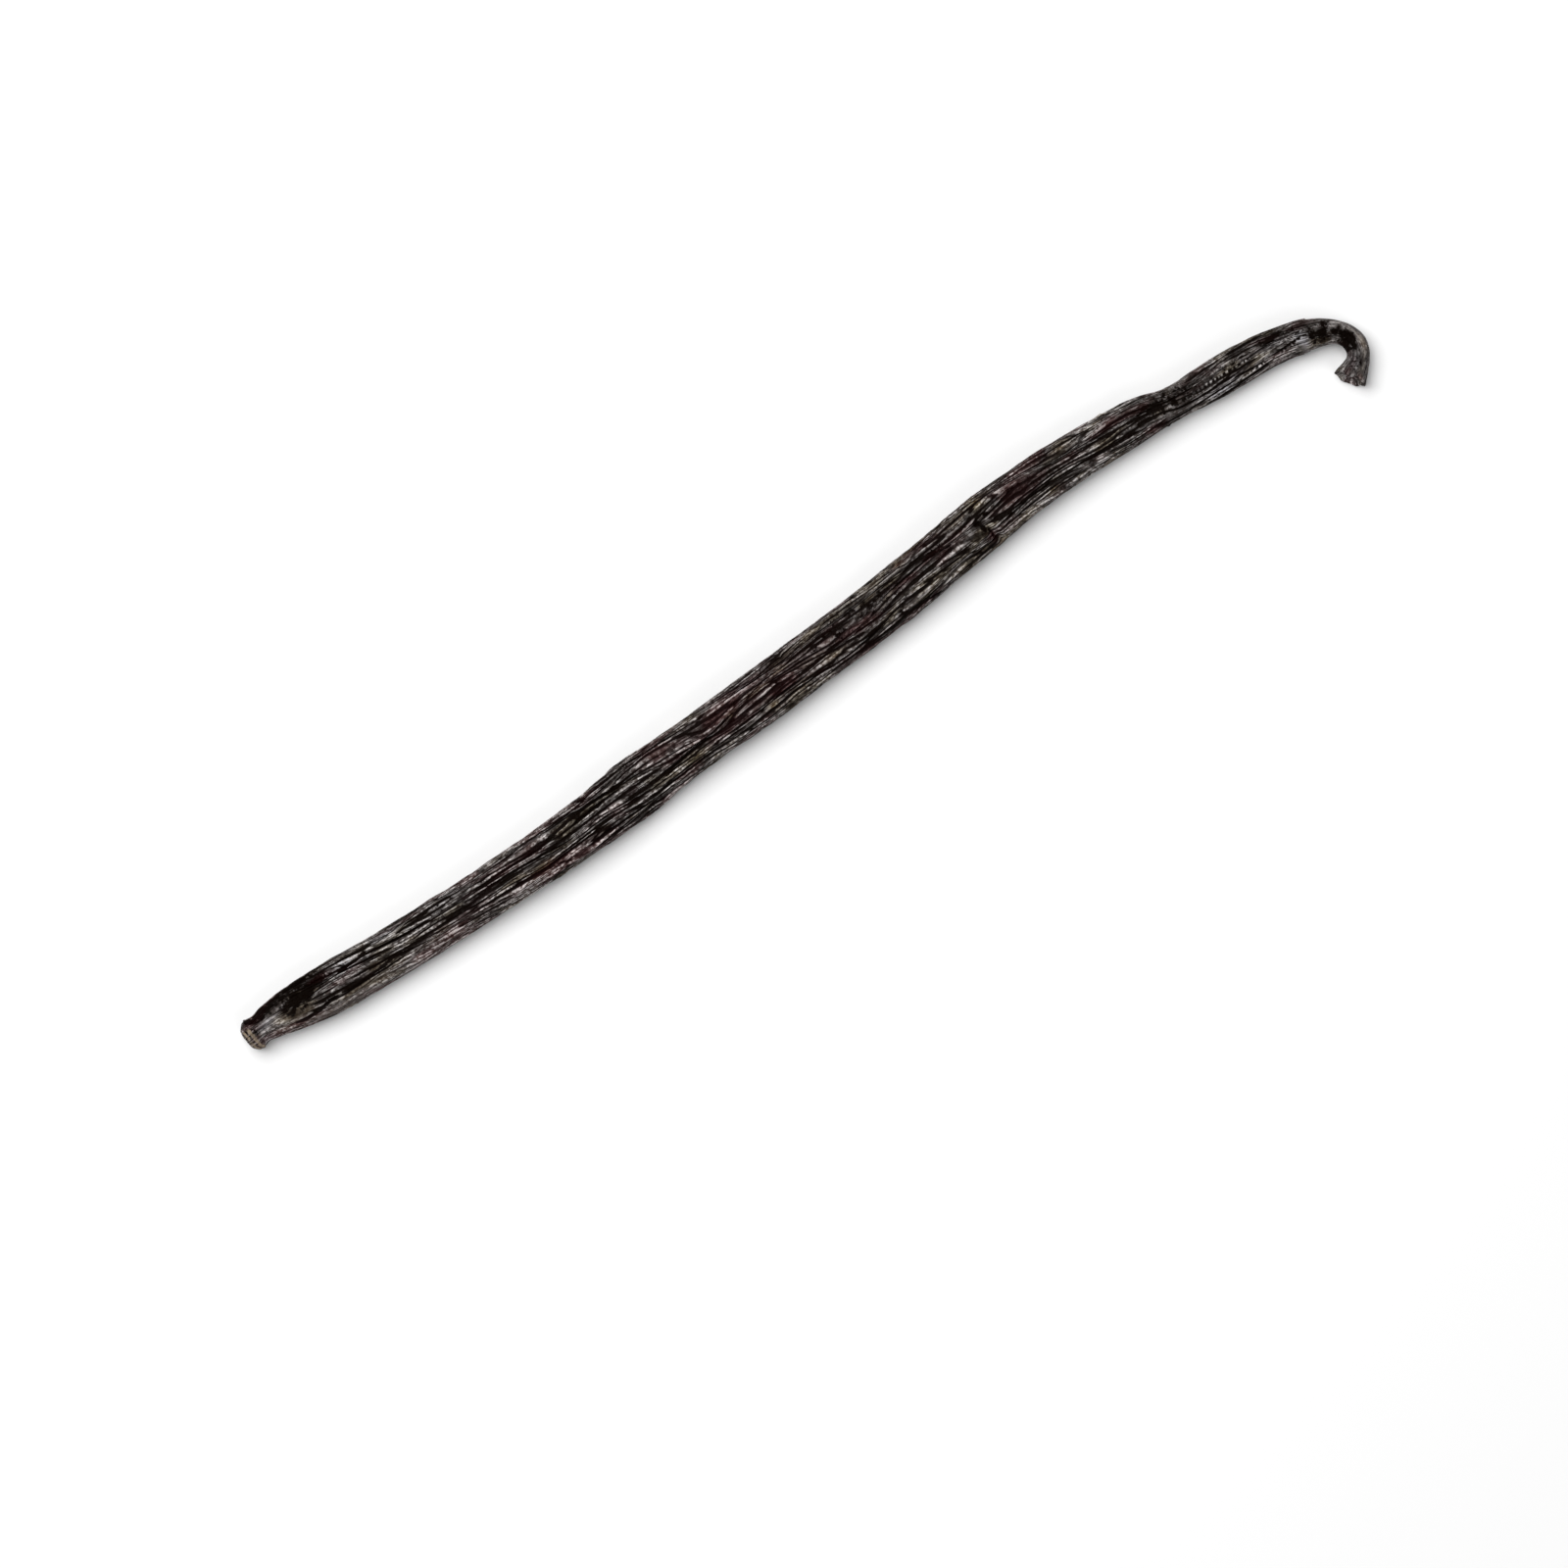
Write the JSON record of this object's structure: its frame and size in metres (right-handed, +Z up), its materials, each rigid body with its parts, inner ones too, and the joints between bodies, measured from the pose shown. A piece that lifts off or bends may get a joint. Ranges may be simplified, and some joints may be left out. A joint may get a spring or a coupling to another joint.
{
  "type": "vanilla bean",
  "caption": "Whole cured vanilla pod, long and flattened, with lengthwise wrinkles, a hooked stem and a blossom-end scar, lying on its side.",
  "frame": {"origin": "middle of the bounding box, at the surface that the bean lies on", "axes": "+X from the blossom end to the stem end, +Z up from the surface"},
  "size_m": [0.1622, 0.0156, 0.0048],
  "materials": {
    "cured_pod": "oily satin, dark brown-black, wrinkled"
  },
  "bodies": {
    "root": {"vanilla_bean": "cured_pod"}
  },
  "joints": []
}
